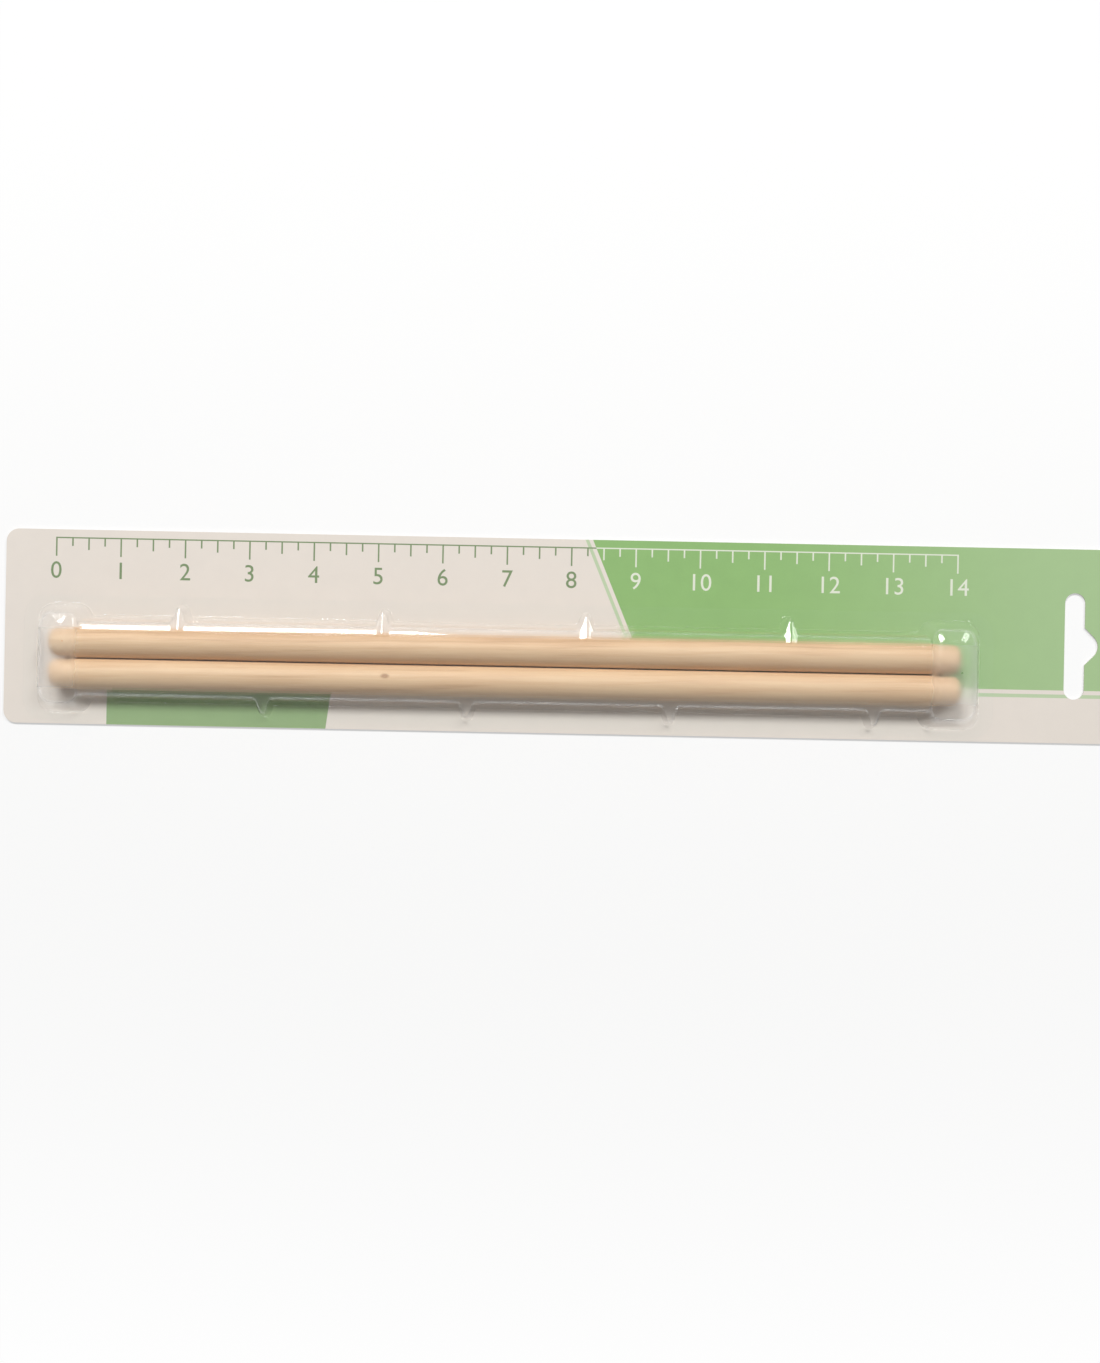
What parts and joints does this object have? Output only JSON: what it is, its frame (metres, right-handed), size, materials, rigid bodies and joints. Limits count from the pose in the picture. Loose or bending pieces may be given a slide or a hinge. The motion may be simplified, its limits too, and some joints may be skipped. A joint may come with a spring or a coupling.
{
  "type": "carded bird perch pair",
  "caption": "Round wooden cage perches lying side by side under a clear formed blister, sealed to a long printed card with a hang slot at one end.",
  "frame": {"origin": "middle of the card's outline, on its back face", "axes": "+X along the card towards the hang slot, +Y across the card towards its wide printed margin, +Z out of the card's face"},
  "size_m": [0.4386, 0.0766, 0.0165],
  "materials": {
    "card": "coated board",
    "clear_plastic": "clear",
    "wood": "sanded, bare"
  },
  "bodies": {
    "card": {"backing_card": "card"},
    "blister": {"blister": "clear_plastic"},
    "perch_upper": {"perch_upper": "wood"},
    "perch_lower": {"perch_lower": "wood"}
  },
  "joints": [
    {"name": "blister_peel", "type": "hinge", "parent": "card", "child": "blister", "pos_m": [-0.0204, -0.0371, 0.001], "axis": [1, 0, 0], "range_deg": [0, 110]},
    {"name": "perch_upper_roll", "type": "hinge", "parent": "card", "child": "perch_upper", "pos_m": [-0.0217, -0.00625, 0.0069], "axis": [1, 0, 0], "continuous": true},
    {"name": "perch_lower_roll", "type": "hinge", "parent": "card", "child": "perch_lower", "pos_m": [-0.0217, -0.01855, 0.0069], "axis": [1, 0, 0], "continuous": true}
  ]
}
